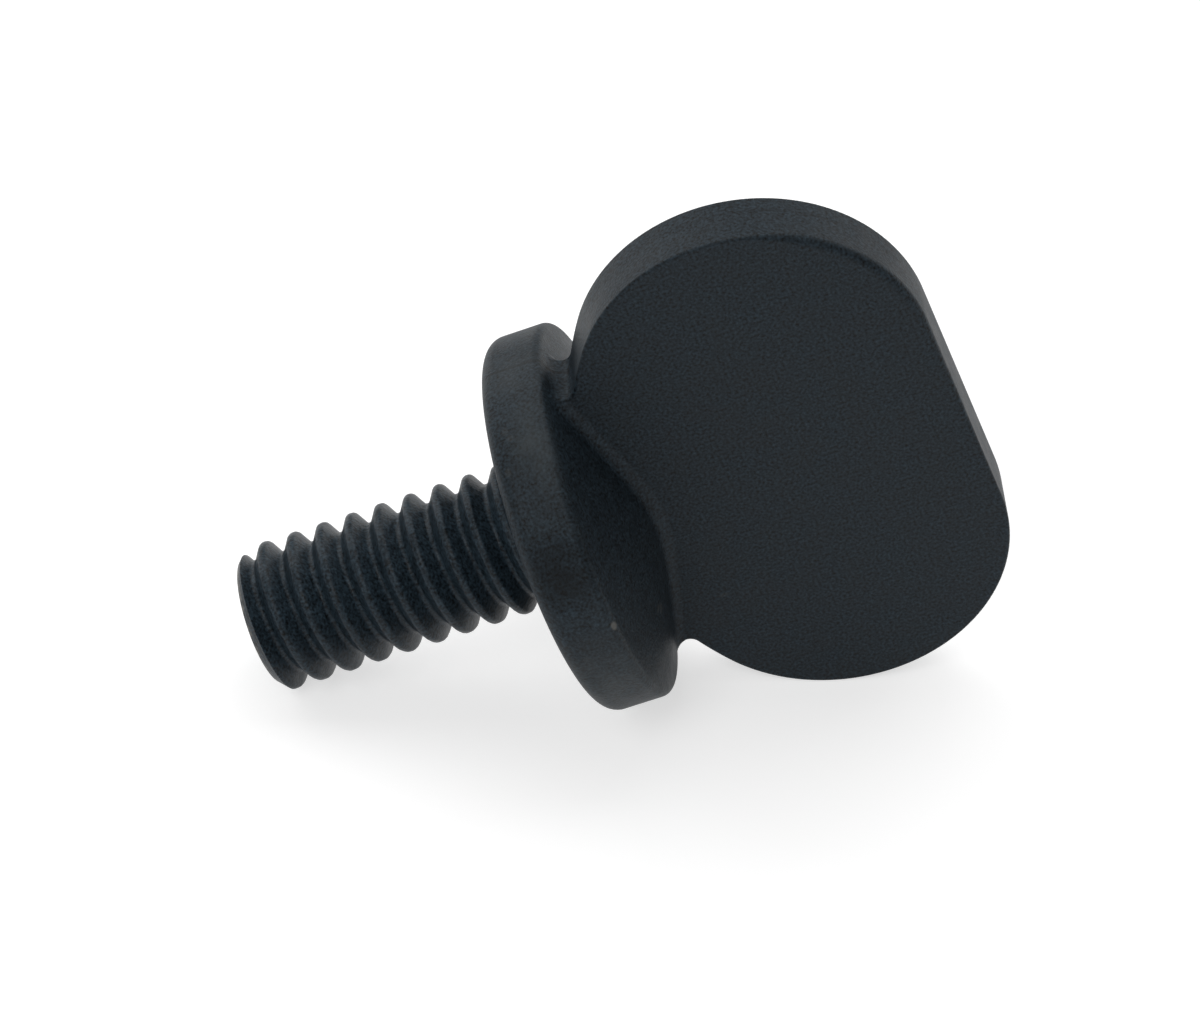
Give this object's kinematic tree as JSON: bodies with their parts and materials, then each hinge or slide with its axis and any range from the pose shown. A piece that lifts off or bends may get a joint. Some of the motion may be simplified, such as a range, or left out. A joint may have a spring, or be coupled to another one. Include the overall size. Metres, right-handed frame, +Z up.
{
  "type": "thumb screw",
  "caption": "Moulded thumb screw with a threaded shank, a round collar with a conical top to seat on, and a flat two-lobed spade plate to turn it by.",
  "frame": {"origin": "centre of the resting footprint, on the table", "axes": "+X the screw's length seen from above, from the tip to the plate, +Y across the plate's thickness, away from the viewer, +Z up. The screw's own axis rises towards the plate by 22.35 degrees."},
  "size_m": [0.0312, 0.0158, 0.0228],
  "materials": {
    "dark_nylon": "matte, fine grain, moulded in one piece"
  },
  "bodies": {
    "root": {"thumb_screw": "dark_nylon"}
  },
  "joints": []
}
